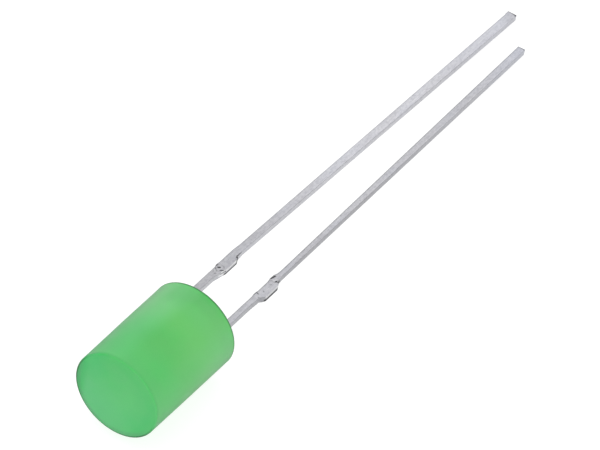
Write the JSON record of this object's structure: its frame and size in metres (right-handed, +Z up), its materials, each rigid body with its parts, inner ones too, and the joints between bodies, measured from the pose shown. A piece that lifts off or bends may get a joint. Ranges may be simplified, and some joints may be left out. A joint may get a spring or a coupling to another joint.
{
  "type": "through hole led",
  "caption": "Flat-topped cylindrical indicator lamp of diffused green epoxy on two long stamped leads, lying on its side.",
  "frame": {"origin": "on the table under the middle of the part's length and width, with the LED lying as it comes to rest on its base edge and both lead tips", "axes": "+Z up from the table; -Y the way the flat top faces, with the body's axis raised 4.5 degrees at the flat top; +Y the way the leads run; +X from the anode lead towards the cathode lead"},
  "size_m": [0.005, 0.036, 0.0055],
  "materials": {
    "green_epoxy": "satin",
    "tinned_steel": "satin",
    "semiconductor": "gloss",
    "silver_epoxy": "matte",
    "gold": "polished"
  },
  "bodies": {
    "root": {"lens_body": "green_epoxy", "anode_lead": "tinned_steel", "cathode_lead": "tinned_steel", "led_die": "semiconductor", "die_attach": "silver_epoxy", "bond_wire": "gold"}
  },
  "joints": []
}
